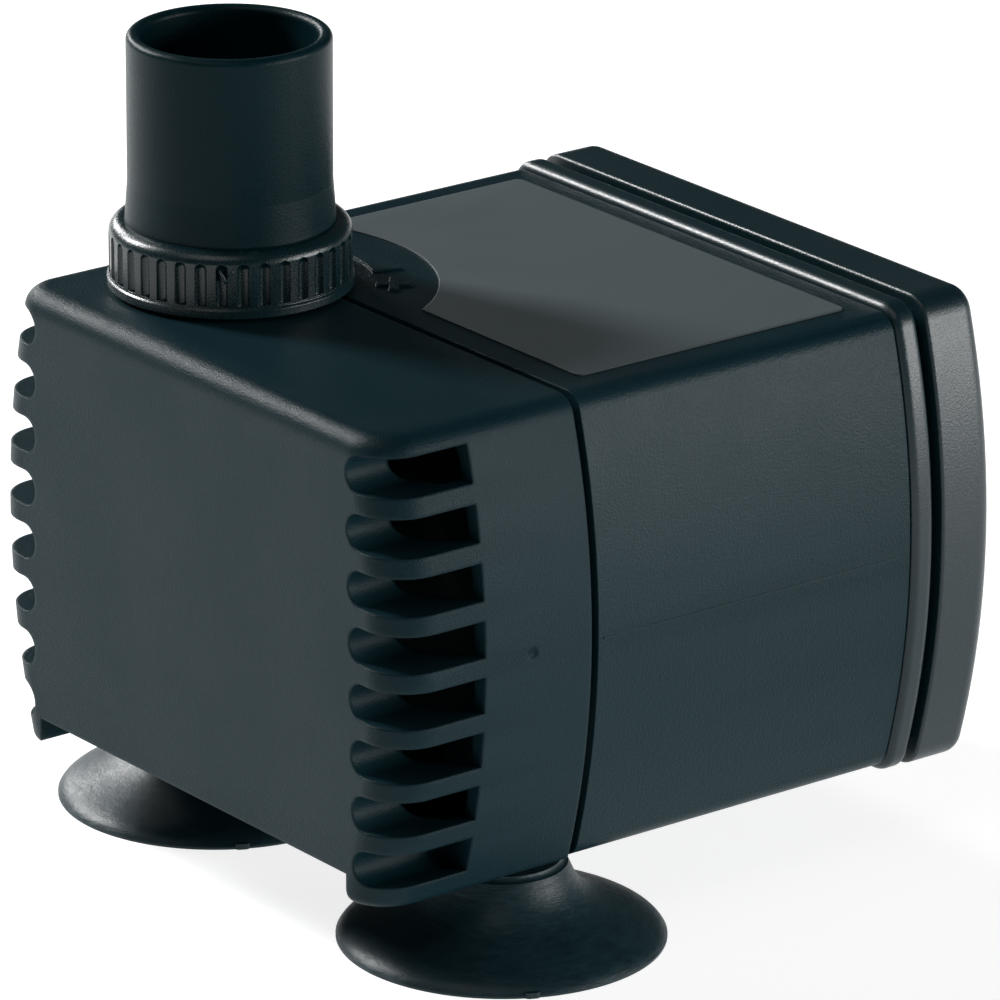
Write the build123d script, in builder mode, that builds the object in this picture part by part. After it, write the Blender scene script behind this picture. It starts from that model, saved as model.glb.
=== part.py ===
from build123d import *
import math
import os

# Small submersible fountain pump with a magnet rotor.
# Frame: X across the body, Y from the slotted front (-Y) to the rear cap (+Y), Z up.
# The origin is under the middle of the body, on the plane that the suction cups stand on.
# All sizes are in millimetres.

# ---- body section ----
BODY_HALF = 21.6            # half width at the fullest height of the bowed sides
BODY_TOP = 36.45
BODY_BOTTOM = 5.8
BODY_MID = (BODY_TOP + BODY_BOTTOM) / 2
SIDE_BOW = 52.0             # radius of the bowed sides
EDGE_R = 1.45               # rounding of the long edges

# ---- stations along Y ----
FRONT = -23.75
COVER_REAR = -8.72
HOUSING_FRONT = -8.18
HOUSING_REAR = 16.9
NECK_REAR = 20.6
SEAL_FRONT = 17.0
SEAL_REAR = 18.85
CAP_FRONT = 19.45
CAP_REAR = 23.75

# ---- front cover ----
COVER_WALL = 1.1
FRONT_CORNER_R = 3.0        # upright corners between the front face and the sides
CAVITY_TOP = BODY_TOP - 1.5
CAVITY_CORNER = 6.0         # inner corner blocks behind the slot ends
SKIRT_TOP = 7.7             # lower edge of the front face, between the two skirts
FLOOR_TOP = 9.2
FLOOR_REAR = -16.2
PLATE_SPACE_FRONT = -15.9   # behind this the skirts are thin, to clear the base plate
SLOT_COUNT = 8
SLOT_PITCH = 3.65
SLOT_LOW = 8.5              # height of the lowest slot
SLOT_HEIGHT = 2.4
SLOT_TIP = 16.43            # distance of the top slot's tip from the middle
SLOT_SPREAD = 0.096         # each lower slot starts this much further out
SLOT_REAR = -16.95
NOTCH_HALF = 16.4
LOBE_R = 1.0
SKIRT_EDGE_R = 0.6          # rounding of the skirts' lower edges

# ---- housing and cap ----
HOUSING_WALL = 2.2
HOUSING_FACE = -6.4         # inner side of the housing's front wall
PARTING_PROUD = 0.05
PARTING_HIGH = 0.12
PARTING_LONG = 24.4
PARTING_Y = 4.4
NECK_INSET = 1.0
CAP_WALL_INSET = 0.85
CAP_BACK = 22.1             # inner side of the cap's rear wall
CAP_SIDE_GROW = 0.2
CAP_END_GROW = 0.6
CAP_CORNER_R = 1.9

# ---- rotor line ----
AXIS_Z = BODY_MID
WELL_R = 8.0
WELL_WALL = 0.9
WELL_END = 7.2
WELL_BACK = 9.0
SHAFT_R = 1.0
SHAFT_FRONT = -19.4
SHAFT_REAR = 8.2
HUB_BORE_R = 1.06
MAGNET_R = 7.3
MAGNET_BORE_R = 3.2
MAGNET_FRONT = -7.6
MAGNET_REAR = 5.2
IMPELLER_R = 9.0
VANE_COUNT = 6
VANE_FRONT = -16.4
VANE_REAR = -11.2
DISC_REAR = -10.2

# ---- pump chamber ----
CHAMBER_FRONT = -17.2
CHAMBER_REAR = -8.4
CHAMBER_R = 11.7
CHAMBER_BORE_R = 10.4
PLATE_TOP = 7.0
PLATE_BOTTOM = 6.0
BOSS_BOTTOM = 5.4

# ---- outlet: ring and hose nozzle ----
OUTLET_X = -10.65
OUTLET_Y = -12.6
SOCKET_R = 4.3
SOCKET_BORE_R = 3.55
SOCKET_TOP = 36.3
SOCKET_FLOOR = 30.0
PASSAGE_R = 3.0
SPIGOT_R = 3.5
SPIGOT_BORE_R = 2.6
NOZZLE_R = 6.52
NOZZLE_FOOT_R = 6.72
NOZZLE_BORE_R = 5.62
NOZZLE_TOP = 53.2
NOZZLE_FLOOR = 38.2
TAPER_TOP = 43.6
RING_BOTTOM = 36.75
RING_TOP = 41.0
RING_R = 7.74
RING_LIP_R = 7.87
FLUTE_COUNT = 36
FLUTE_R = 0.42

# ---- label and flow scale ----
LABEL_HALF = 16.75
LABEL_FRONT = -6.1
LABEL_REAR = 15.3
LABEL_CUT_R = 13.2
LABEL_THICK = 0.11
SCALE_INNER_R = 9.3

# ---- feet ----
FOOT_X = 15.2
FOOT_Y = -10.7
CUP_R = 10.43
REAR_FOOT_Y = 13.5
REAR_CUP_R = 7.0

# ---- motor ----
LEG_INNER = 9.5
LEG_OUTER = 14.5
LEG_FRONT = -5.6
YOKE_FRONT = 15.3
YOKE_REAR = 18.8
STACK_HALF = 6.0
STATOR_BORE_R = 9.15
COIL_FRONT = 9.35
COIL_REAR = 15.0
RESIN_FRONT = -6.3
RESIN_REAR = 20.4

# ---- cable inlet ----
GLAND_X = -9.0
GLAND_Z = 14.0
GLAND_R = 3.55
GLAND_BORE_R = 2.5

slot_levels = [SLOT_LOW + SLOT_PITCH * row for row in range(SLOT_COUNT)]


def across(y):
    """Plane across the pump at station y; sketches on it are extruded towards the front."""
    return Plane.XZ.offset(-y)


def bow_x(z, half=BODY_HALF):
    """Half width of the bowed side at height z."""
    return half - SIDE_BOW + math.sqrt(SIDE_BOW**2 - (z - BODY_MID) ** 2)


def body_outline(side=0.0, ends=0.0, corner=EDGE_R):
    """Section of the body: flat top and bottom, bowed sides, rounded corners."""
    top = BODY_TOP + ends
    bottom = BODY_BOTTOM - ends
    half = BODY_HALF + side
    with BuildSketch() as outline:
        with BuildLine():
            Line((-bow_x(top, half), top), (bow_x(top, half), top))
            ThreePointArc((bow_x(top, half), top), (half, BODY_MID), (bow_x(bottom, half), bottom))
            Line((bow_x(bottom, half), bottom), (-bow_x(bottom, half), bottom))
            ThreePointArc((-bow_x(bottom, half), bottom), (-half, BODY_MID), (-bow_x(top, half), top))
        make_face()
        if corner > 0:
            fillet(outline.vertices(), corner)
    return outline.sketch


def inset_outline(inset):
    """The rounded body section, shrunk by the same amount all round."""
    with BuildSketch() as outline:
        add(body_outline())
        offset(amount=-inset)
    return outline.sketch


def save(piece, name):
    """Label one sub-part and write it as its own file."""
    piece.part.label = name
    export_step(piece.part, "parts/" + name + ".step")


os.makedirs("parts", exist_ok=True)


# ---- front cover: a slotted box, open behind and below, that pulls off forwards ----
with BuildPart() as cover_cavity:
    with BuildSketch(across(COVER_REAR + 1)):
        add(body_outline(side=-COVER_WALL, ends=-1.5, corner=1.0))
    extrude(amount=COVER_REAR + 1 - (FRONT + COVER_WALL))
    with BuildSketch(Plane.XY.offset(FLOOR_TOP)):
        with BuildLine():
            half = BODY_HALF
            nose = FRONT + COVER_WALL
            Polyline(
                (-half, COVER_REAR + 1), (-half, nose + CAVITY_CORNER), (-half + CAVITY_CORNER + 2, nose),
                (half - CAVITY_CORNER - 2, nose), (half, nose + CAVITY_CORNER), (half, COVER_REAR + 1),
                close=True,
            )
        make_face()
    extrude(amount=BODY_TOP - FLOOR_TOP, mode=Mode.INTERSECT)

with BuildPart() as skirt_space:
    with BuildSketch(across(COVER_REAR + 1)):
        add(body_outline(side=-COVER_WALL, ends=2, corner=0))
    extrude(amount=COVER_REAR + 1 - PLATE_SPACE_FRONT)
    with BuildSketch(Plane.XY.offset(BODY_BOTTOM - 2)):
        with Locations((0, (PLATE_SPACE_FRONT + COVER_REAR + 1) / 2)):
            Rectangle(2 * BODY_HALF, COVER_REAR + 1 - PLATE_SPACE_FRONT)
    extrude(amount=SKIRT_TOP - BODY_BOTTOM + 2, mode=Mode.INTERSECT)

with BuildPart() as front_cover:
    with BuildSketch(across(COVER_REAR)):
        add(body_outline(corner=0))
    extrude(amount=COVER_REAR - FRONT)
    uprights = front_cover.faces().sort_by(Axis.Y)[0].edges().filter_by(GeomType.CIRCLE)
    fillet(uprights, FRONT_CORNER_R)
    for end, edge_r in ((-1, EDGE_R), (0, SKIRT_EDGE_R)):
        rim = front_cover.faces().sort_by(Axis.Z)[end].edges()
        fillet([edge for edge in rim if edge.center().Y < COVER_REAR - 0.1], edge_r)
    add(cover_cavity.part, mode=Mode.SUBTRACT)
    add(skirt_space.part, mode=Mode.SUBTRACT)
    # the floor is only a lip behind the front face; the chamber's base plate closes the rest
    with BuildSketch(Plane.XY.offset(BODY_BOTTOM - 1)):
        with Locations((0, (FLOOR_REAR + COVER_REAR + 1) / 2)):
            Rectangle(2 * (bow_x(SKIRT_TOP) - COVER_WALL), COVER_REAR + 1 - FLOOR_REAR)
    extrude(amount=FLOOR_TOP - BODY_BOTTOM + 1.5, mode=Mode.SUBTRACT)
    # the slots run round both corners: round tips on the front, square ends on the sides
    with BuildSketch(across(SLOT_REAR)):
        for row, level in enumerate(slot_levels):
            tip = SLOT_TIP + SLOT_SPREAD * (SLOT_COUNT - 1 - row)
            for side in (-1, 1):
                with Locations((side * (tip + 10), level)):
                    SlotOverall(20, SLOT_HEIGHT)
    extrude(amount=SLOT_REAR - FRONT + 1, mode=Mode.SUBTRACT)
    # the front face stops above the skirts, which are wide up front and end in rounded lobes
    with BuildSketch(across(PLATE_SPACE_FRONT)):
        with BuildLine():
            low = BODY_BOTTOM - 1
            lobe = NOTCH_HALF + LOBE_R
            Line((-NOTCH_HALF, SKIRT_TOP), (NOTCH_HALF, SKIRT_TOP))
            Line((NOTCH_HALF, SKIRT_TOP), (NOTCH_HALF, BODY_BOTTOM + LOBE_R))
            RadiusArc((NOTCH_HALF, BODY_BOTTOM + LOBE_R), (lobe, BODY_BOTTOM), -LOBE_R)
            Polyline((lobe, BODY_BOTTOM), (lobe, low), (-lobe, low), (-lobe, BODY_BOTTOM))
            RadiusArc((-lobe, BODY_BOTTOM), (-NOTCH_HALF, BODY_BOTTOM + LOBE_R), -LOBE_R)
            Line((-NOTCH_HALF, BODY_BOTTOM + LOBE_R), (-NOTCH_HALF, SKIRT_TOP))
        make_face()
    extrude(amount=PLATE_SPACE_FRONT - FRONT + 1, mode=Mode.SUBTRACT)
    # the roof is open behind the outlet, so that the cover slides off past the socket
    with BuildSketch(Plane.XY.offset(CAVITY_TOP - 2)):
        with Locations((OUTLET_X, OUTLET_Y)):
            Circle(SOCKET_R + 0.3)
        with Locations((OUTLET_X, (OUTLET_Y + COVER_REAR + 1) / 2)):
            Rectangle(2 * (SOCKET_R + 0.3), COVER_REAR + 1 - OUTLET_Y)
    extrude(amount=5, mode=Mode.SUBTRACT)
    # moulding gate dimple on the near side
    with Locations((BODY_HALF + 0.42, -13.3, 21.4)):
        Sphere(0.6, mode=Mode.SUBTRACT)
save(front_cover, "front_cover")


# ---- motor housing: the wet rotor well and the dry motor space in one casting ----
with BuildPart() as motor_housing:
    with BuildSketch(across(HOUSING_REAR)):
        add(body_outline())
    extrude(amount=HOUSING_REAR - HOUSING_FRONT)
    with BuildSketch(across(NECK_REAR)):
        add(inset_outline(NECK_INSET))
    extrude(amount=NECK_REAR - HOUSING_REAR)
    with BuildSketch(across(NECK_REAR)):
        add(inset_outline(HOUSING_WALL))
    extrude(amount=NECK_REAR - HOUSING_FACE, mode=Mode.SUBTRACT)
    with BuildSketch(across(WELL_BACK)):
        with Locations((0, AXIS_Z)):
            Circle(WELL_R + WELL_WALL)
    extrude(amount=WELL_BACK - HOUSING_FACE)
    with BuildSketch(across(WELL_END)):
        with Locations((0, AXIS_Z)):
            Circle(WELL_R)
    extrude(amount=WELL_END - HOUSING_FRONT, mode=Mode.SUBTRACT)
    with BuildSketch(across(SHAFT_REAR + 0.2)):
        with Locations((0, AXIS_Z)):
            Circle(1.9)
    extrude(amount=2, mode=Mode.SUBTRACT)
    # boss and pocket for the rear foot
    with BuildSketch(Plane.XY.offset(BODY_BOTTOM + HOUSING_WALL)):
        with Locations((0, REAR_FOOT_Y)):
            Circle(4.2)
    extrude(amount=1.3)
    with BuildSketch(Plane.XY.offset(BODY_BOTTOM - 1)):
        with Locations((0, REAR_FOOT_Y)):
            Circle(1.95)
    extrude(amount=2.5, mode=Mode.SUBTRACT)
    with BuildSketch(Plane.XY.offset(BODY_BOTTOM + 1.1)):
        with Locations((0, REAR_FOOT_Y)):
            Circle(3.0)
    extrude(amount=1.4, mode=Mode.SUBTRACT)
    # faint raised parting line along both sides
    with Locations((BODY_HALF, PARTING_Y, BODY_MID), (-BODY_HALF, PARTING_Y, BODY_MID)):
        Box(2 * PARTING_PROUD, PARTING_LONG, PARTING_HIGH)
    # raised flow scale beside the ring: a wedge that widens towards a plus mark
    with BuildSketch(Plane.XY.offset(BODY_TOP)):
        with BuildLine():
            steps = 8
            angles = [math.radians(120 - 52 * step / steps) for step in range(steps + 1)]
            radii = [SCALE_INNER_R + 0.3 + 1.75 * step / steps for step in range(steps + 1)]
            edge = [
                (OUTLET_X + r * math.cos(a), OUTLET_Y + r * math.sin(a))
                for a, r in zip(angles, radii)
            ]
            start = (
                OUTLET_X + SCALE_INNER_R * math.cos(angles[0]),
                OUTLET_Y + SCALE_INNER_R * math.sin(angles[0]),
            )
            middle = (
                OUTLET_X + SCALE_INNER_R * math.cos(angles[steps // 2]),
                OUTLET_Y + SCALE_INNER_R * math.sin(angles[steps // 2]),
            )
            stop = (
                OUTLET_X + SCALE_INNER_R * math.cos(angles[-1]),
                OUTLET_Y + SCALE_INNER_R * math.sin(angles[-1]),
            )
            Spline(*edge)
            Line(edge[-1], stop)
            ThreePointArc(stop, middle, start)
            Line(start, edge[0])
        make_face()
        plus_angle = math.radians(52)
        plus_r = 10.35
        plus = (OUTLET_X + plus_r * math.cos(plus_angle), OUTLET_Y + plus_r * math.sin(plus_angle))
        with Locations(Location((plus[0], plus[1], 0), (0, 0, -38))):
            Rectangle(2.3, 0.62)
            Rectangle(0.62, 2.3)
    extrude(amount=0.16)
save(motor_housing, "motor_housing")


# ---- rear seal: the rounded glossy bead between housing and cap ----
with BuildPart() as rear_seal:
    with BuildSketch(across(SEAL_REAR)):
        add(body_outline(side=0.22, ends=0.5, corner=EDGE_R + 0.35))
        add(inset_outline(NECK_INSET), mode=Mode.SUBTRACT)
    extrude(amount=SEAL_REAR - SEAL_FRONT)
    for end in (0, -1):
        face = rear_seal.faces().filter_by(Axis.Y).sort_by(Axis.Y)[end]
        fillet(face.outer_wire().edges(), 0.62)
save(rear_seal, "rear_seal")


# ---- rear cap ----
with BuildPart() as rear_cap:
    with BuildSketch(across(CAP_REAR)):
        add(body_outline(side=CAP_SIDE_GROW, ends=CAP_END_GROW, corner=CAP_CORNER_R))
    extrude(amount=CAP_REAR - CAP_FRONT)
    fillet(rear_cap.faces().sort_by(Axis.Y)[-1].edges(), 1.2)
    fillet(rear_cap.faces().sort_by(Axis.Y)[0].edges(), 0.22)
    with BuildSketch(across(CAP_BACK)):
        add(inset_outline(CAP_WALL_INSET))
    extrude(amount=CAP_BACK - CAP_FRONT + 1, mode=Mode.SUBTRACT)
    with BuildSketch(across(CAP_REAR + 1)):
        with Locations((GLAND_X, GLAND_Z)):
            Circle(GLAND_R)
    extrude(amount=CAP_REAR + 2 - CAP_BACK, mode=Mode.SUBTRACT)
save(rear_cap, "rear_cap")


# ---- cable gland: a flanged rubber bush in the rear cap ----
with BuildPart() as cable_gland:
    with BuildSketch(across(CAP_REAR)):
        with Locations((GLAND_X, GLAND_Z)):
            Circle(GLAND_R)
    extrude(amount=CAP_REAR - CAP_BACK)
    with BuildSketch(across(CAP_BACK)):
        with Locations((GLAND_X, GLAND_Z)):
            Circle(GLAND_R + 1.1)
    extrude(amount=CAP_BACK - RESIN_REAR)
    with BuildSketch(across(CAP_REAR + 1)):
        with Locations((GLAND_X, GLAND_Z)):
            Circle(GLAND_BORE_R)
    extrude(amount=CAP_REAR + 2 - RESIN_REAR, mode=Mode.SUBTRACT)
save(cable_gland, "cable_gland")


# ---- rating label: a thin blank panel with a round bite in front ----
with BuildPart() as rating_label:
    with BuildSketch(Plane.XY.offset(BODY_TOP)) as label_face:
        with Locations((0, (LABEL_FRONT + LABEL_REAR) / 2)):
            Rectangle(2 * LABEL_HALF, LABEL_REAR - LABEL_FRONT)
        fillet(label_face.vertices(), 0.5)
        with Locations((OUTLET_X, OUTLET_Y)):
            Circle(LABEL_CUT_R, mode=Mode.SUBTRACT)
    extrude(amount=LABEL_THICK)
save(rating_label, "rating_label")


# ---- pump chamber: spiral ring, outlet socket and the base plate for the front feet ----
with BuildPart() as pump_chamber:
    with BuildSketch(across(CHAMBER_REAR)):
        with Locations((0, AXIS_Z)):
            Circle(CHAMBER_R)
    extrude(amount=CHAMBER_REAR - CHAMBER_FRONT)
    with BuildSketch(Plane.XY.offset(AXIS_Z - 5)):
        with Locations((OUTLET_X, OUTLET_Y)):
            Circle(SOCKET_R)
    extrude(amount=SOCKET_TOP - AXIS_Z + 5)
    with BuildSketch(across(CHAMBER_REAR)):
        with Locations((0, (PLATE_TOP + AXIS_Z - CHAMBER_BORE_R) / 2)):
            Rectangle(12, AXIS_Z - CHAMBER_BORE_R - PLATE_TOP + 1)
    extrude(amount=CHAMBER_REAR + 15.4)
    with BuildSketch(Plane.XY.offset(PLATE_BOTTOM)) as base_plate:
        with Locations((0, (CHAMBER_REAR - 15.4) / 2)):
            RectangleRounded(35.0, CHAMBER_REAR + 15.4, 1.5)
    extrude(amount=PLATE_TOP - PLATE_BOTTOM)
    with BuildSketch(Plane.XY.offset(BOSS_BOTTOM)):
        with Locations((FOOT_X, FOOT_Y), (-FOOT_X, FOOT_Y)):
            Circle(2.25)
    extrude(amount=PLATE_BOTTOM - BOSS_BOTTOM + 0.2)
    with BuildSketch(Plane.XY.offset(BOSS_BOTTOM - 1)):
        with Locations((FOOT_X, FOOT_Y), (-FOOT_X, FOOT_Y)):
            Circle(1.95)
    extrude(amount=4, mode=Mode.SUBTRACT)
    with BuildSketch(across(CHAMBER_REAR + 1)):
        with Locations((0, AXIS_Z)):
            Circle(CHAMBER_BORE_R)
    extrude(amount=CHAMBER_REAR + 2 - CHAMBER_FRONT, mode=Mode.SUBTRACT)
    with BuildSketch(Plane.XY.offset(AXIS_Z - 1)):
        with Locations((OUTLET_X, OUTLET_Y)):
            Circle(PASSAGE_R)
    extrude(amount=SOCKET_FLOOR - AXIS_Z, mode=Mode.SUBTRACT)
    with BuildSketch(Plane.XY.offset(SOCKET_FLOOR - 1.2)):
        with Locations((OUTLET_X, OUTLET_Y)):
            Circle(PASSAGE_R)
        with Locations((OUTLET_X - PASSAGE_R / 2, OUTLET_Y)):
            Rectangle(PASSAGE_R, 2 * PASSAGE_R, mode=Mode.SUBTRACT)
    extrude(amount=2, mode=Mode.SUBTRACT)
    with BuildSketch(Plane.XY.offset(SOCKET_FLOOR)):
        with Locations((OUTLET_X, OUTLET_Y)):
            Circle(SOCKET_BORE_R)
    extrude(amount=SOCKET_TOP - SOCKET_FLOOR + 1, mode=Mode.SUBTRACT)
    # groove for the seal against the housing
    with BuildSketch(across(HOUSING_FRONT)):
        with Locations((0, AXIS_Z)):
            Circle(11.4)
            Circle(10.7, mode=Mode.SUBTRACT)
    extrude(amount=HOUSING_FRONT - CHAMBER_REAR + 0.7, mode=Mode.SUBTRACT)
save(pump_chamber, "pump_chamber")


# ---- chamber seal: a flat ring in the groove, pressed against the housing ----
with BuildPart() as chamber_seal:
    with BuildSketch(across(HOUSING_FRONT)):
        with Locations((0, AXIS_Z)):
            Circle(11.35)
            Circle(10.75, mode=Mode.SUBTRACT)
    extrude(amount=HOUSING_FRONT - CHAMBER_REAR + 0.65)
    fillet(chamber_seal.edges().filter_by(GeomType.CIRCLE), 0.2)
save(chamber_seal, "chamber_seal")


# ---- chamber cover: front disc with the intake eye and three spokes ----
with BuildPart() as chamber_cover:
    with BuildSketch(across(CHAMBER_FRONT)):
        with Locations((0, AXIS_Z)):
            Circle(CHAMBER_R)
            Circle(5.2, mode=Mode.SUBTRACT)
            Circle(2.7)
        with Locations((0, AXIS_Z)):
            with PolarLocations(4.0, 3, start_angle=90):
                Rectangle(3.2, 1.3)
    extrude(amount=1.4)
    with BuildSketch(across(CHAMBER_FRONT)):
        with Locations((0, AXIS_Z)):
            Circle(2.7)
    extrude(amount=3.2)
    with BuildSketch(across(CHAMBER_FRONT + 1)):
        with Locations((0, AXIS_Z)):
            Circle(1.8)
    extrude(amount=3.65, mode=Mode.SUBTRACT)
save(chamber_cover, "chamber_cover")


# ---- shaft and its two rubber seats ----
def shaft_seat(name, mouth, floor):
    """Rubber cup that holds one end of the shaft: mouth is its open end, floor its closed end."""
    rear = max(mouth, floor)
    front = min(mouth, floor)
    with BuildPart() as seat:
        with BuildSketch(across(rear)):
            with Locations((0, AXIS_Z)):
                Circle(1.78 if name == "front_bearing" else 1.88)
        extrude(amount=rear - front)
        with BuildSketch(across(rear if mouth > floor else rear - 0.4)):
            with Locations((0, AXIS_Z)):
                Circle(SHAFT_R)
        extrude(amount=rear - front - 0.4, mode=Mode.SUBTRACT)
    save(seat, name)


shaft_seat("front_bearing", -17.3, SHAFT_FRONT - 0.4)
shaft_seat("rear_bearing", 6.6, SHAFT_REAR + 0.2)

with BuildPart() as rotor_shaft:
    with BuildSketch(across(SHAFT_REAR - 0.2)):
        with Locations((0, AXIS_Z)):
            Circle(SHAFT_R)
    extrude(amount=SHAFT_REAR - 0.2 - SHAFT_FRONT)
    chamfer(rotor_shaft.edges().filter_by(GeomType.CIRCLE), 0.2)
save(rotor_shaft, "rotor_shaft")


# ---- rotor: hub sleeve, magnet and impeller turn together on the shaft ----
with BuildPart() as rotor_hub:
    with BuildSketch(across(MAGNET_REAR + 0.9)):
        with Locations((0, AXIS_Z)):
            Circle(MAGNET_BORE_R - 0.02)
    extrude(amount=MAGNET_REAR + 0.9 - DISC_REAR)
    with BuildSketch(across(MAGNET_REAR + 0.9)):
        with Locations((0, AXIS_Z)):
            Circle(5.2)
    extrude(amount=0.88)
    with BuildSketch(across(MAGNET_FRONT - 0.02)):
        with Locations((0, AXIS_Z)):
            Circle(6.6)
    extrude(amount=0.9)
    with BuildSketch(across(MAGNET_REAR + 1)):
        with Locations((0, AXIS_Z)):
            Circle(HUB_BORE_R)
    extrude(amount=MAGNET_REAR + 2 - DISC_REAR, mode=Mode.SUBTRACT)
save(rotor_hub, "rotor_hub")

with BuildPart() as rotor_magnet:
    with BuildSketch(across(MAGNET_REAR)):
        with Locations((0, AXIS_Z)):
            Circle(MAGNET_R)
            Circle(MAGNET_BORE_R, mode=Mode.SUBTRACT)
    extrude(amount=MAGNET_REAR - MAGNET_FRONT)
    chamfer(rotor_magnet.edges().filter_by(GeomType.CIRCLE).group_by(SortBy.RADIUS)[-1], 0.3)
save(rotor_magnet, "rotor_magnet")

with BuildPart() as impeller:
    with BuildSketch(across(DISC_REAR - 0.02)):
        with Locations((0, AXIS_Z)):
            Circle(IMPELLER_R)
    extrude(amount=DISC_REAR - VANE_REAR)
    with BuildSketch(across(VANE_REAR)):
        with Locations((0, AXIS_Z)):
            Circle(2.3)
            with PolarLocations(5.5, VANE_COUNT):
                Rectangle(6.9, 1.0)
    extrude(amount=VANE_REAR - VANE_FRONT)
    with BuildSketch(across(DISC_REAR + 1)):
        with Locations((0, AXIS_Z)):
            Circle(HUB_BORE_R)
    extrude(amount=DISC_REAR + 2 - VANE_FRONT, mode=Mode.SUBTRACT)
save(impeller, "impeller")


# ---- hose nozzle: tube above, throttling spigot below ----
with BuildPart() as hose_nozzle:
    with BuildSketch(Plane.XZ) as nozzle_profile:
        with BuildLine():
            Polyline(
                (SPIGOT_BORE_R, SOCKET_FLOOR + 0.15), (SPIGOT_R, SOCKET_FLOOR + 0.15), (SPIGOT_R, 33.1),
                (SPIGOT_R - 0.5, 33.1), (SPIGOT_R - 0.5, 33.9), (SPIGOT_R, 33.9),
                (SPIGOT_R, RING_BOTTOM + 0.15),
                (NOZZLE_FOOT_R, RING_BOTTOM + 0.15), (NOZZLE_FOOT_R, RING_TOP), (NOZZLE_R, TAPER_TOP),
                (NOZZLE_R, NOZZLE_TOP), (NOZZLE_BORE_R, NOZZLE_TOP), (NOZZLE_BORE_R, NOZZLE_FLOOR),
                (SPIGOT_BORE_R, NOZZLE_FLOOR), close=True,
            )
        make_face()
        rim = nozzle_profile.vertices().group_by(Axis.Y)[-1]
        fillet(rim, 0.42)
        inner_corner = nozzle_profile.vertices().filter_by(
            lambda v: abs(v.X - NOZZLE_BORE_R) < 0.01 and abs(v.Z - NOZZLE_FLOOR) < 0.01
        )
        fillet(inner_corner, 1.2)
    revolve(axis=Axis.Z)
    with BuildSketch(Plane.XY.offset(SOCKET_FLOOR + 0.15)):
        Circle(SPIGOT_BORE_R + 0.2)
        with Locations((SPIGOT_BORE_R, 0)):
            Rectangle(2 * SPIGOT_BORE_R, 4 * SPIGOT_BORE_R, mode=Mode.SUBTRACT)
    extrude(amount=0.9)
hose_nozzle.part.locate(Location((OUTLET_X, OUTLET_Y, 0)))
save(hose_nozzle, "hose_nozzle")


# ---- nozzle O-ring ----
with BuildPart() as nozzle_o_ring:
    with Locations((OUTLET_X, OUTLET_Y, 33.5)):
        Torus(SPIGOT_R - 0.23, 0.25)
save(nozzle_o_ring, "nozzle_o_ring")


# ---- regulator ring: fluted grip with a low lip below and a soft shoulder above ----
with BuildPart() as regulator_ring:
    with BuildSketch(Plane.XZ) as ring_profile:
        with BuildLine():
            Polyline(
                (NOZZLE_FOOT_R, RING_TOP), (NOZZLE_FOOT_R, RING_BOTTOM), (RING_LIP_R, RING_BOTTOM),
                (RING_LIP_R, RING_BOTTOM + 0.5), (RING_R, RING_BOTTOM + 0.62), (RING_R, RING_TOP - 0.75),
            )
            shoulder_mid = (RING_R - 0.27, RING_TOP - 0.24)
            ThreePointArc((RING_R, RING_TOP - 0.75), shoulder_mid, (NOZZLE_FOOT_R, RING_TOP))
        make_face()
    revolve(axis=Axis.Z)
    flute_bottom = RING_BOTTOM + 0.75
    flute_top = RING_TOP - 1.1
    with BuildSketch(Plane.XY.offset(flute_bottom)):
        with PolarLocations(RING_R + 0.14, FLUTE_COUNT):
            Circle(FLUTE_R)
    extrude(amount=flute_top - flute_bottom, mode=Mode.SUBTRACT)
    with Locations((0, 0, flute_top)):
        with PolarLocations(RING_R + 0.14, FLUTE_COUNT):
            Sphere(FLUTE_R, mode=Mode.SUBTRACT)
regulator_ring.part.locate(Location((OUTLET_X, OUTLET_Y, 0)))
save(regulator_ring, "regulator_ring")


# ---- suction cups: rubber bells with a mushroom head that snaps into its hole ----
def suction_cup(name, x, y, radius, shoulder, neck_top, head_r, head_top):
    """Rubber bell standing on z = 0, with a neck and head pushed up through its hole."""
    disc = 0.4 * radius
    rise = (shoulder - 0.35) / 5.03
    with BuildPart() as cup:
        with BuildSketch(Plane.XZ):
            with BuildLine():
                Line((radius - 0.45, 0), (radius, 0))
                Line((radius, 0), (radius, 0.15))
                Spline(
                    (radius, 0.15), (0.975 * radius, 0.5 * rise), (0.9 * radius, 1.0 * rise),
                    (0.66 * radius, 2.05 * rise), (0.44 * radius, 4.1 * rise),
                )
                Line((0.44 * radius, 4.1 * rise), (disc, shoulder - 0.35))
                RadiusArc((disc, shoulder - 0.35), (disc - 0.4, shoulder), 0.4)
                Polyline((disc - 0.4, shoulder), (1.9, shoulder), (1.9, neck_top), (head_r, neck_top))
                Line((head_r, neck_top), (head_r, neck_top + 0.2))
                Line((head_r, neck_top + 0.2), (1.2, head_top))
                Line((1.2, head_top), (0, head_top))
                Line((0, head_top), (0, shoulder - 2.2))
                Line((0, shoulder - 2.2), (1.2, shoulder - 2.25))
                Spline((1.2, shoulder - 2.25), (radius * 0.62, 0.95), (radius - 0.45, 0))
            make_face()
        revolve(axis=Axis.Z)
        with BuildSketch(Plane.XY):
            with Locations(Location((0, 0, 0), (0, 0, -27))):
                with Locations((radius - 0.4, 0)):
                    RectangleRounded(1.05, 1.0, 0.3)
        extrude(amount=0.38)
    cup.part.locate(Location((x, y, 0)))
    save(cup, name)


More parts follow.
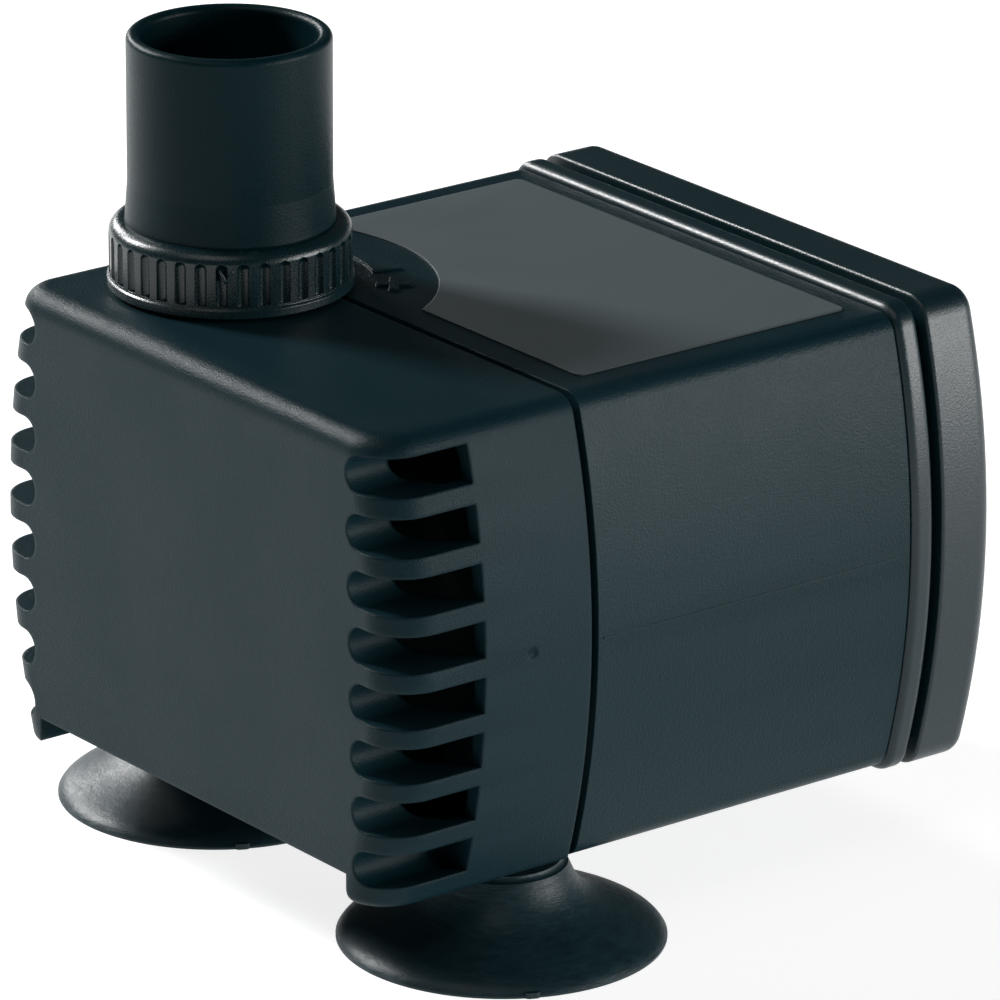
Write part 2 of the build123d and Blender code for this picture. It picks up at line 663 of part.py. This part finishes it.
suction_cup("foot_front_left", -FOOT_X, FOOT_Y, CUP_R, BOSS_BOTTOM - 0.02, PLATE_TOP, 2.3, 7.85)
suction_cup("foot_front_right", FOOT_X, FOOT_Y, CUP_R, BOSS_BOTTOM - 0.02, PLATE_TOP, 2.3, 7.85)
suction_cup("foot_rear", 0, REAR_FOOT_Y, REAR_CUP_R, BODY_BOTTOM - 0.02, BODY_BOTTOM + 1.12, 2.8, 8.1)


# ---- stator: one U of laminations, its legs hugging the rotor well ----
with BuildPart() as stator_core:
    with BuildSketch(Plane.XY.offset(AXIS_Z - STACK_HALF)):
        for side in (-1, 1):
            with Locations((side * (LEG_INNER + LEG_OUTER - 1.3) / 2, (LEG_FRONT + YOKE_REAR) / 2)):
                Rectangle(LEG_OUTER - LEG_INNER + 1.3, YOKE_REAR - LEG_FRONT)
            with Locations((side * LEG_INNER, (COIL_FRONT + YOKE_FRONT) / 2)):
                Rectangle(2.6, YOKE_FRONT - COIL_FRONT + 0.8, mode=Mode.SUBTRACT)
        with Locations((0, (YOKE_FRONT + YOKE_REAR) / 2)):
            Rectangle(2 * LEG_OUTER, YOKE_REAR - YOKE_FRONT)
    extrude(amount=2 * STACK_HALF)
    with BuildSketch(across(WELL_BACK + 0.3)):
        with Locations((0, AXIS_Z)):
            Circle(STATOR_BORE_R)
    extrude(amount=WELL_BACK + 0.3 - LEG_FRONT + 1, mode=Mode.SUBTRACT)
save(stator_core, "stator_core")

LEG_MID = (LEG_INNER + 1.3 + LEG_OUTER) / 2
LEG_WIDE = LEG_OUTER - LEG_INNER - 1.3


def coil(side, label):
    """Bobbin and copper winding on one leg of the core."""
    with BuildPart() as bobbin:
        with BuildSketch(across(COIL_REAR)):
            with Locations((side * LEG_MID, AXIS_Z)):
                RectangleRounded(LEG_WIDE + 1.4, 2 * STACK_HALF + 1.4, 0.4)
        extrude(amount=COIL_REAR - COIL_FRONT)
        for flange in (COIL_REAR, COIL_FRONT + 0.7):
            with BuildSketch(across(flange)):
                with Locations((side * LEG_MID, AXIS_Z)):
                    RectangleRounded(9.6, 18.0, 0.8)
            extrude(amount=0.7)
        with BuildSketch(across(COIL_REAR + 1)):
            with Locations((side * LEG_MID, AXIS_Z)):
                Rectangle(LEG_WIDE + 0.1, 2 * STACK_HALF + 0.1)
        extrude(amount=COIL_REAR + 2 - COIL_FRONT, mode=Mode.SUBTRACT)
    save(bobbin, "coil_bobbin_" + label)
    with BuildPart() as winding:
        with BuildSketch(across(COIL_REAR - 0.75)):
            with Locations((side * LEG_MID, AXIS_Z)):
                RectangleRounded(9.0, 17.4, 2.4)
                RectangleRounded(LEG_WIDE + 1.5, 2 * STACK_HALF + 1.5, 0.4, mode=Mode.SUBTRACT)
        extrude(amount=COIL_REAR - COIL_FRONT - 1.5)
    save(winding, "coil_winding_" + label)


coil(-1, "left")
coil(1, "right")

with BuildPart() as terminal_pins:
    with BuildSketch(across(RESIN_REAR - 0.6)):
        with Locations((GLAND_X - 1.2, AXIS_Z + 7.8), (GLAND_X + 1.2, AXIS_Z + 7.8)):
            Circle(0.35)
    extrude(amount=RESIN_REAR - 0.6 - COIL_REAR)
save(terminal_pins, "terminal_pins")


# ---- potting resin: fills the dry side round the motor ----
with BuildPart() as potting_resin:
    with BuildSketch(across(RESIN_REAR)):
        add(inset_outline(HOUSING_WALL + 0.05))
    extrude(amount=RESIN_REAR - RESIN_FRONT)
    with BuildSketch(across(WELL_BACK + 0.3)):
        with Locations((0, AXIS_Z)):
            Circle(STATOR_BORE_R)
    extrude(amount=WELL_BACK + 0.3 - RESIN_FRONT + 1, mode=Mode.SUBTRACT)
    with BuildSketch(Plane.XY.offset(AXIS_Z - STACK_HALF - 0.05)):
        with Locations((0, (LEG_FRONT + YOKE_REAR) / 2)):
            Rectangle(2 * LEG_OUTER + 0.1, YOKE_REAR - LEG_FRONT + 0.1)
    extrude(amount=2 * STACK_HALF + 0.1, mode=Mode.SUBTRACT)
    with BuildSketch(across(COIL_REAR + 0.05)):
        with Locations((LEG_MID, AXIS_Z), (-LEG_MID, AXIS_Z)):
            RectangleRounded(9.8, 18.2, 0.8)
    extrude(amount=COIL_REAR - COIL_FRONT + 0.1, mode=Mode.SUBTRACT)
    with BuildSketch(across(RESIN_REAR + 1)):
        with Locations((GLAND_X - 1.2, AXIS_Z + 7.8), (GLAND_X + 1.2, AXIS_Z + 7.8)):
            Circle(0.4)
    extrude(amount=RESIN_REAR + 1 - COIL_REAR, mode=Mode.SUBTRACT)
    with BuildSketch(Plane.XY.offset(BODY_BOTTOM)):
        with Locations((0, REAR_FOOT_Y)):
            Circle(4.3)
    extrude(amount=BODY_BOTTOM, mode=Mode.SUBTRACT)
save(potting_resin, "potting_resin")
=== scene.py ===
import math

import bmesh
import bpy
from mathutils import Matrix, Vector


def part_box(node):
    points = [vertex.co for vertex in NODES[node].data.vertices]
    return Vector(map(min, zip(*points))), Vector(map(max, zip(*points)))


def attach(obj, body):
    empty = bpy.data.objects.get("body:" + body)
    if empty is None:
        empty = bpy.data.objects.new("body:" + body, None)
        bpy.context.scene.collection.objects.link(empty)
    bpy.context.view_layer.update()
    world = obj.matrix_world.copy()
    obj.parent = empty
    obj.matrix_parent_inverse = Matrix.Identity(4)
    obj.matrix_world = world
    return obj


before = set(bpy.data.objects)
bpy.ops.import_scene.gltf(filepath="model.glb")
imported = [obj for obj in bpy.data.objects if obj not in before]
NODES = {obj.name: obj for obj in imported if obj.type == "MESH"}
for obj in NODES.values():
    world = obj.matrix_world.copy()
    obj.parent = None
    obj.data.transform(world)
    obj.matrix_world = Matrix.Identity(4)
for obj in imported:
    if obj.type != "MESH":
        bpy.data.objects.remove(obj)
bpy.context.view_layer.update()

# Fountain submersible pump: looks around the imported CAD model.
# Frame: X across the body, Y from the slotted front (-Y) to the rear cap (+Y), Z up.
# Blender's lengths are in metres. Values named _MM, and sizes given in mm, are multiplied by MM.

MM = 0.001


# ---------------------------------------------------------------- material node graphs

# Sockets of a Mix node in colour mode, which repeats its socket names for each data type.
MIX_FACTOR = 0
MIX_FIRST = 6
MIX_SECOND = 7
MIX_RESULT = 2

# Parts of a noise's 0..1 range that are stretched to the full range: the narrower, the more contrast.
NARROW_BAND = (0.35, 0.65)
WIDE_BAND = (0.3, 0.7)

# Pointiness of a convex edge, from where wear starts to where it is full.
EDGE_POINTINESS = (0.52, 0.60)


class Graph:
    """A material's node tree with short calls for the nodes used here."""

    def __init__(self, name):
        self.material = bpy.data.materials.new(name)
        self.material.use_nodes = True
        self.tree = self.material.node_tree
        self.tree.nodes.clear()
        self.out = self.tree.nodes.new("ShaderNodeOutputMaterial")
        self.shader = self.tree.nodes.new("ShaderNodeBsdfPrincipled")
        self.link(self.shader.outputs["BSDF"], self.out.inputs["Surface"])
        self.coords = self.tree.nodes.new("ShaderNodeTexCoord").outputs["Object"]

    def link(self, source, target):
        self.tree.links.new(source, target)

    def node(self, kind, **settings):
        made = self.tree.nodes.new(kind)
        for key, value in settings.items():
            setattr(made, key, value)
        return made

    def stretched(self, scale):
        """Object coordinates, scaled along each axis."""
        mapping = self.node("ShaderNodeMapping")
        mapping.inputs["Scale"].default_value = scale
        self.link(self.coords, mapping.inputs["Vector"])
        return mapping.outputs["Vector"]

    def noise(self, per_mm, detail=2.0, rough=0.5, stretch=None):
        """Noise with per_mm features to a millimetre, as a 0..1 value."""
        made = self.node("ShaderNodeTexNoise")
        made.inputs["Scale"].default_value = per_mm / MM
        made.inputs["Detail"].default_value = detail
        made.inputs["Roughness"].default_value = rough
        self.link(self.stretched(stretch) if stretch else self.coords, made.inputs["Vector"])
        return made.outputs["Fac"]

    def cells(self, per_mm):
        """Distance to the nearest of scattered points, per_mm points to a millimetre."""
        made = self.node("ShaderNodeTexVoronoi", feature="F1")
        made.inputs["Scale"].default_value = per_mm / MM
        self.link(self.coords, made.inputs["Vector"])
        return made.outputs["Distance"]

    def ramp(self, value, band, out=(0.0, 1.0)):
        """The value's range band, stretched to the range out and held there beyond it."""
        made = self.node("ShaderNodeMapRange")
        for socket, limit in zip(("From Min", "From Max", "To Min", "To Max"), (*band, *out)):
            made.inputs[socket].default_value = limit
        self.link(value, made.inputs["Value"])
        return made.outputs["Result"]

    def math(self, operation, a, b):
        """A Math node; each of a and b is a number or a socket."""
        made = self.node("ShaderNodeMath", operation=operation)
        for socket, value in zip(made.inputs, (a, b)):
            if isinstance(value, (int, float)):
                socket.default_value = value
            else:
                self.link(value, socket)
        return made.outputs["Value"]

    def mix(self, factor, first, second):
        """Colour mix; factor is a socket, each colour is a tuple or a socket."""
        made = self.node("ShaderNodeMix", data_type="RGBA")
        self.link(factor, made.inputs[MIX_FACTOR])
        for index, value in ((MIX_FIRST, first), (MIX_SECOND, second)):
            if isinstance(value, tuple):
                made.inputs[index].default_value = (*value, 1.0)
            else:
                self.link(value, made.inputs[index])
        return made.outputs[MIX_RESULT]

    def bump(self, height, distance_mm, under=None):
        """The normal of a height map, on top of the normal under if one is given."""
        made = self.node("ShaderNodeBump")
        made.inputs["Strength"].default_value = 1.0
        made.inputs["Distance"].default_value = distance_mm * MM
        self.link(height, made.inputs["Height"])
        if under is not None:
            self.link(under, made.inputs["Normal"])
        return made.outputs["Normal"]

    def edge_wear(self):
        """0..1 along convex edges, from the geometry's pointiness."""
        geometry = self.node("ShaderNodeNewGeometry")
        return self.ramp(geometry.outputs["Pointiness"], EDGE_POINTINESS)


def around(value, spread):
    """The range from value - spread to value + spread."""
    return (value - spread, value + spread)


def shade(colour, factor, lift=0.0):
    """The colour times a factor, raised by lift and held at 1."""
    return tuple(min(1, channel * factor + lift) for channel in colour)


# ---------------------------------------------------------------- the kinds of surface

# Moulded plastic: how far roughness swings over wide patches and over the grain.
PATCHES_PER_MM = 0.12
ROUGHNESS_SWING = 0.04
# Worn edges and scratches show a paler tone.
WORN_FACTOR = 1.8
WORN_LIFT = 0.012
EDGE_SAMPLES = 6
# Hair scratches: long along X, in patches, a little rougher and cut in slightly.
HAIR_PER_MM = 0.9
HAIR_STRETCH = (0.35, 6.0, 1.0)
HAIR_BAND = (0.62, 0.70)
HAIR_PATCHES_PER_MM = 0.10
HAIR_PATCH_BAND = (0.48, 0.66)
HAIR_ROUGHER = 0.06
HAIR_DEPTH_MM = 0.004


def moulded(name, colour, roughness, grain_per_mm, grain_mm,
            gloss=0.25, wear=0.3, swing=0.18, scratch=0.0, edge_mm=0.15):
    """Moulded surface: grain in height, tone and roughness, paler worn edges, and hair scratches if wanted.

    swing is the change of tone over the grain, edge_mm the radius of the edge rounding in the shading.
    """
    g = Graph(name)
    grain = g.noise(grain_per_mm, detail=3.0, rough=0.6)
    patches = g.noise(PATCHES_PER_MM, detail=3.0)
    grain_tone = g.mix(g.ramp(grain, NARROW_BAND), shade(colour, 1 - swing), shade(colour, 1 + swing))
    worn = g.math("MULTIPLY", g.edge_wear(), wear)
    pale = shade(colour, WORN_FACTOR, WORN_LIFT)
    tone = g.mix(worn, grain_tone, pale)
    rough = g.math(
        "ADD",
        g.ramp(patches, WIDE_BAND, around(roughness, ROUGHNESS_SWING)),
        g.ramp(grain, WIDE_BAND, around(0.0, ROUGHNESS_SWING)),
    )
    soft_edge = g.node("ShaderNodeBevel", samples=EDGE_SAMPLES)
    soft_edge.inputs["Radius"].default_value = edge_mm * MM
    normal = g.bump(grain, grain_mm, under=soft_edge.outputs["Normal"])
    if scratch > 0:
        hair = g.ramp(g.noise(HAIR_PER_MM, detail=4.0, rough=0.7, stretch=HAIR_STRETCH), HAIR_BAND)
        gate = g.ramp(g.noise(HAIR_PATCHES_PER_MM, detail=1.0), HAIR_PATCH_BAND)
        lines = g.math("MULTIPLY", hair, gate)
        tone = g.mix(g.math("MULTIPLY", lines, scratch), tone, pale)
        rough = g.math("ADD", rough, g.math("MULTIPLY", lines, HAIR_ROUGHER))
        normal = g.bump(g.math("SUBTRACT", 1.0, lines), HAIR_DEPTH_MM, under=normal)
    g.link(tone, g.shader.inputs["Base Color"])
    g.link(rough, g.shader.inputs["Roughness"])
    g.shader.inputs["Specular IOR Level"].default_value = gloss
    g.link(normal, g.shader.inputs["Normal"])
    return g.material


# Metal: the wave texture's own scale factor, its waviness, the darker tone between lines,
# and how far roughness swings down and up.
WAVE_SCALE = 3.2
WAVE_DISTORTION = 0.3
METAL_DARK = 0.6
METAL_SMOOTHER = 0.06
METAL_ROUGHER = 0.08
METAL_GRAIN_PER_MM = 5.0
METAL_GRAIN_MM = 0.003


def metal(name, colour, roughness, stripe_per_mm, stripe_axis, stripe_mm):
    """Metal with fine parallel lines, such as turning marks, laminations or wire turns."""
    g = Graph(name)
    wave = g.node("ShaderNodeTexWave", wave_type="BANDS", bands_direction=stripe_axis)
    wave.inputs["Scale"].default_value = stripe_per_mm / MM / WAVE_SCALE
    wave.inputs["Distortion"].default_value = WAVE_DISTORTION
    g.link(g.coords, wave.inputs["Vector"])
    stripe = wave.outputs["Fac"]
    fine = g.noise(METAL_GRAIN_PER_MM, detail=3.0)
    g.link(g.mix(stripe, shade(colour, METAL_DARK), colour), g.shader.inputs["Base Color"])
    rough = g.ramp(fine, WIDE_BAND, (roughness - METAL_SMOOTHER, roughness + METAL_ROUGHER))
    g.link(rough, g.shader.inputs["Roughness"])
    g.shader.inputs["Metallic"].default_value = 1.0
    normal = g.bump(stripe, stripe_mm, under=g.bump(fine, METAL_GRAIN_MM))
    g.link(normal, g.shader.inputs["Normal"])
    return g.material


RUBBER_GLOSS = 0.3
RUBBER_PORES_PER_MM = 5.0
RUBBER_PORE_MM = 0.004
RUBBER_STREAKS_PER_MM = 0.9
RUBBER_STREAK_STRETCH = (1.0, 1.0, 5.0)
RUBBER_STREAK_MM = 0.035
RUBBER_TONE_SWING = 0.25
RUBBER_ROUGHNESS_SWING = 0.07
DUST_PER_MM = 0.35
DUST_BAND = (0.45, 0.75)
DUST_AMOUNT = 0.25
DUST_FACTOR = 2
DUST_LIFT = 0.004


def rubber(name, colour, roughness):
    """Soft black rubber: faint flow streaks round the piece, dusty patches and tiny pores."""
    g = Graph(name)
    pores = g.cells(RUBBER_PORES_PER_MM)
    streaks = g.noise(RUBBER_STREAKS_PER_MM, detail=5.0, rough=0.7, stretch=RUBBER_STREAK_STRETCH)
    dust = g.ramp(g.noise(DUST_PER_MM, detail=4.0), DUST_BAND)
    darker = shade(colour, 1 - RUBBER_TONE_SWING)
    lighter = shade(colour, 1 + RUBBER_TONE_SWING)
    tone = g.mix(g.ramp(streaks, NARROW_BAND), darker, lighter)
    dusty = g.mix(g.math("MULTIPLY", dust, DUST_AMOUNT), tone, shade(colour, DUST_FACTOR, DUST_LIFT))
    g.link(dusty, g.shader.inputs["Base Color"])
    rough = g.ramp(streaks, WIDE_BAND, around(roughness, RUBBER_ROUGHNESS_SWING))
    g.link(rough, g.shader.inputs["Roughness"])
    g.shader.inputs["Specular IOR Level"].default_value = RUBBER_GLOSS
    normal = g.bump(streaks, RUBBER_STREAK_MM, under=g.bump(pores, RUBBER_PORE_MM))
    g.link(normal, g.shader.inputs["Normal"])
    return g.material


# ---------------------------------------------------------------- materials

BLACK = (0.0015, 0.0145, 0.0195)
NOZZLE_BLACK = (0.001, 0.0125, 0.016)
LABEL_GREY = (0.042, 0.056, 0.060)
SEAL_BLACK = (0.012, 0.013, 0.014)
IVORY = (0.62, 0.61, 0.57)
NYLON = (0.70, 0.67, 0.58)

cover_plastic = moulded("cover_plastic", BLACK, roughness=0.40, grain_per_mm=8.0, grain_mm=0.040,
                        gloss=0.11, wear=0.25, edge_mm=0.30)
housing_plastic = moulded("housing_plastic", BLACK, roughness=0.35, grain_per_mm=6.5, grain_mm=0.042,
                          gloss=0.13, edge_mm=0.12)
cap_plastic = moulded("cap_plastic", BLACK, roughness=0.34, grain_per_mm=6.5, grain_mm=0.022, gloss=0.46)
gloss_seal = moulded("gloss_seal", BLACK, roughness=0.32, grain_per_mm=7.0, grain_mm=0.016,
                     gloss=0.42, wear=0.1)
label_film = moulded("label_film", LABEL_GREY, roughness=0.55, grain_per_mm=9.0, grain_mm=0.003,
                     gloss=0.2, wear=0.5, swing=0.06, scratch=0.15)
nozzle_plastic = moulded("nozzle_plastic", NOZZLE_BLACK, roughness=0.36, grain_per_mm=7.0, grain_mm=0.020,
                         gloss=0.09, wear=0.2, edge_mm=0.08)
ring_plastic = moulded("ring_plastic", NOZZLE_BLACK, roughness=0.27, grain_per_mm=9.0, grain_mm=0.014,
                       gloss=0.45, wear=0.3, edge_mm=0.08)
foot_rubber = rubber("foot_rubber", (0.0055, 0.021, 0.027), roughness=0.42)
seal_rubber = rubber("seal_rubber", SEAL_BLACK, roughness=0.5)
inner_plastic = moulded("inner_plastic", (0.010, 0.016, 0.018), roughness=0.40, grain_per_mm=5.0,
                        grain_mm=0.008, wear=0.2)
rotor_plastic = moulded("rotor_plastic", IVORY, roughness=0.38, grain_per_mm=5.0, grain_mm=0.006,
                        gloss=0.5, wear=0.1, swing=0.05)
magnet_ferrite = moulded("magnet_ferrite", (0.035, 0.034, 0.036), roughness=0.55, grain_per_mm=9.0,
                         grain_mm=0.012, gloss=0.5, wear=0.4)
bobbin_nylon = moulded("bobbin_nylon", NYLON, roughness=0.42, grain_per_mm=5.0, grain_mm=0.006,
                       gloss=0.5, wear=0.1, swing=0.05)
potting_resin = moulded("potting_resin", (0.012, 0.012, 0.013), roughness=0.22, grain_per_mm=2.5,
                        grain_mm=0.010, gloss=0.5, wear=0.1)
shaft_steel = metal("shaft_steel", (0.62, 0.62, 0.63), roughness=0.22, stripe_per_mm=12.0,
                    stripe_axis="Y", stripe_mm=0.002)
lamination_steel = metal("lamination_steel", (0.36, 0.36, 0.37), roughness=0.42, stripe_per_mm=2.0,
                         stripe_axis="Z", stripe_mm=0.05)
coil_copper = metal("coil_copper", (0.72, 0.30, 0.12), roughness=0.33, stripe_per_mm=3.6,
                    stripe_axis="Y", stripe_mm=0.08)
pin_brass = metal("pin_brass", (0.78, 0.60, 0.28), roughness=0.30, stripe_per_mm=10.0,
                  stripe_axis="Y", stripe_mm=0.002)

MATERIALS = {
    "front_cover": cover_plastic, "motor_housing": housing_plastic, "rear_cap": cap_plastic,
    "rear_seal": gloss_seal, "rating_label": label_film, "hose_nozzle": nozzle_plastic,
    "regulator_ring": ring_plastic, "foot_front_left": foot_rubber, "foot_front_right": foot_rubber,
    "foot_rear": foot_rubber, "cable_gland": foot_rubber, "chamber_seal": seal_rubber,
    "nozzle_o_ring": seal_rubber, "front_bearing": seal_rubber, "rear_bearing": seal_rubber,
    "pump_chamber": inner_plastic, "chamber_cover": inner_plastic, "impeller": rotor_plastic,
    "rotor_hub": rotor_plastic, "rotor_magnet": magnet_ferrite, "rotor_shaft": shaft_steel,
    "stator_core": lamination_steel, "coil_bobbin_left": bobbin_nylon, "coil_bobbin_right": bobbin_nylon,
    "coil_winding_left": coil_copper, "coil_winding_right": coil_copper, "terminal_pins": pin_brass,
    "potting_resin": potting_resin,
}
for node, obj in NODES.items():
    obj.data.materials.clear()
    obj.data.materials.append(MATERIALS[node])


# ---------------------------------------------------------------- the pointer on the ring

POINTER_STEPS = 5
POINTER_SINK_MM = 0.16       # how far its base line lies inside the ring's outer radius
POINTER_ROOT_MM = 0.12       # how far its edges reach in below that line
POINTER_FOOT = 0.55          # height of its foot, as a part of the ring's height
POINTER_SPREAD = 0.42        # sideways reach of an arm, as a part of its length
POINTER_RISE = 0.85          # rise of an arm, as a part of its length
POINTER_TAPER = 0.45         # how much an arm thins towards its end
SHOULDER_OUT = 0.7           # the rounded shoulders, as a part of the half width and of the height
SHOULDER_UP = 0.8


def pointer(angle_deg, arm_mm, width_mm, proud_mm):
    """A raised V on the ring's flutes, opening upwards: two bent strips that meet at the foot."""
    low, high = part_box("regulator_ring")
    centre = (low + high) / 2
    radius = (high.x - low.x) / 2 - POINTER_SINK_MM * MM
    foot_z = low.z + POINTER_FOOT * (high.z - low.z)
    root = -POINTER_ROOT_MM * MM
    mesh = bpy.data.meshes.new("ring_pointer")
    work = bmesh.new()
    for side in (-1, 1):
        rings = []
        for step in range(POINTER_STEPS + 1):
            along = step / POINTER_STEPS
            across = side * along * arm_mm * POINTER_SPREAD * MM
            z = foot_z + along * arm_mm * POINTER_RISE * MM
            taper = 1 - POINTER_TAPER * along**2
            half = width_mm * taper * MM / 2
            lift = proud_mm * taper * MM
            shoulder = half * SHOULDER_OUT
            section = (
                (-half, root),
                (-shoulder, lift * SHOULDER_UP),
                (0, lift),
                (shoulder, lift * SHOULDER_UP),
                (half, root),
            )
            ring = []
            for offset, height in section:
                turn = math.radians(angle_deg) + (across + offset) / radius
                reach = radius + height
                place = (centre.x + reach * math.cos(turn), centre.y + reach * math.sin(turn), z)
                ring.append(work.verts.new(place))
            rings.append(ring)
        for first, second in zip(rings, rings[1:]):
            for i in range(len(first)):
                j = (i + 1) % len(first)
                work.faces.new((first[i], first[j], second[j], second[i]))
        work.faces.new(rings[0])
        work.faces.new(rings[-1])
    bmesh.ops.recalc_face_normals(work, faces=work.faces)
    work.to_mesh(mesh)
    work.free()
    for face in mesh.polygons:
        face.use_smooth = True
    mesh.materials.append(ring_plastic)
    made = bpy.data.objects.new("ring_pointer", mesh)
    bpy.context.scene.collection.objects.link(made)
    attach(made, "flow_regulator")


pointer(angle_deg=-38, arm_mm=1.0, width_mm=0.34, proud_mm=0.14)


# ---------------------------------------------------------------- camera

# Solved from the outline in the photo: a long lens from the front right, slightly above.
AZIMUTH = math.radians(52.257)
ELEVATION = math.radians(19.951)
ROLL = math.radians(0.224)
LENS_MM = 307.7298
SENSOR_MM = 36.0
TARGET = Vector((8.64, -5.875, 26.0)) * MM
DISTANCE = 535.594 * MM
CLIP = (0.01, 20)

forward = Vector((
    -math.sin(AZIMUTH) * math.cos(ELEVATION),
    math.cos(AZIMUTH) * math.cos(ELEVATION),
    -math.sin(ELEVATION),
))
right = Vector((math.cos(AZIMUTH), math.sin(AZIMUTH), 0))
up = right.cross(forward)
image_right = math.cos(ROLL) * right + math.sin(ROLL) * up
image_up = -math.sin(ROLL) * right + math.cos(ROLL) * up
facing = Matrix((image_right, image_up, -forward)).transposed()

camera = bpy.data.objects.new("camera", bpy.data.cameras.new("camera"))
bpy.context.scene.collection.objects.link(camera)
camera.data.sensor_width = SENSOR_MM
camera.data.lens = LENS_MM
camera.data.clip_start, camera.data.clip_end = CLIP
camera.matrix_world = Matrix.Translation(TARGET - forward * DISTANCE) @ facing.to_4x4()
bpy.context.scene.camera = camera


# ---------------------------------------------------------------- floor and light

WHITE = (1, 1, 1, 1)
FLOOR_GREY = (0.45, 0.45, 0.45, 1)
FLOOR_ROUGHNESS = 0.7
FLOOR_GLOW = 0.82            # lifts the floor to the photo's white, while it still takes shadows
HALF_FLOOR = 3.0
WORLD_STRENGTH = 0.04
LIGHT_AIM = Vector((0, 0, 22 * MM))

floor_mesh = bpy.data.meshes.new("floor")
corners = [(x * HALF_FLOOR, y * HALF_FLOOR, 0) for x, y in ((-1, -1), (1, -1), (1, 1), (-1, 1))]
floor_mesh.from_pydata(corners, [], [(0, 1, 2, 3)])
floor = bpy.data.objects.new("floor", floor_mesh)
bpy.context.scene.collection.objects.link(floor)
floor_graph = Graph("floor_white")
floor_graph.shader.inputs["Base Color"].default_value = FLOOR_GREY
floor_graph.shader.inputs["Roughness"].default_value = FLOOR_ROUGHNESS
floor_graph.shader.inputs["Emission Color"].default_value = WHITE
floor_graph.shader.inputs["Emission Strength"].default_value = FLOOR_GLOW
floor.data.materials.append(floor_graph.material)


def softbox(name, direction, distance_mm, size_mm, radiance):
    """A rectangular area light: direction from the pump, and radiance as seen from the pump."""
    light = bpy.data.lights.new(name, "AREA")
    light.shape = "RECTANGLE"
    light.size, light.size_y = (side * MM for side in size_mm)
    light.energy = radiance * math.pi * light.size * light.size_y
    lamp = bpy.data.objects.new(name, light)
    bpy.context.scene.collection.objects.link(lamp)
    lamp.location = LIGHT_AIM + Vector(direction).normalized() * distance_mm * MM
    lamp.rotation_euler = (LIGHT_AIM - lamp.location).to_track_quat("-Z", "Y").to_euler()


softbox("key_panel", (-0.75, -0.30, 0.54), distance_mm=700, size_mm=(120, 190), radiance=78.0)
softbox("left_sheen", (-0.92, 0.12, 0.33), distance_mm=700, size_mm=(170, 140), radiance=24.0)
softbox("top_fill", (0.20, -0.50, 0.84), distance_mm=700, size_mm=(450, 350), radiance=1.3)
softbox("right_card", (0.80, 0.60, 0.15), distance_mm=600, size_mm=(420, 140), radiance=14.0)

world = bpy.data.worlds.new("studio")
bpy.context.scene.world = world
world.use_nodes = True
world.node_tree.nodes["Background"].inputs["Color"].default_value = WHITE
world.node_tree.nodes["Background"].inputs["Strength"].default_value = WORLD_STRENGTH
bpy.context.scene.view_settings.view_transform = "Standard"
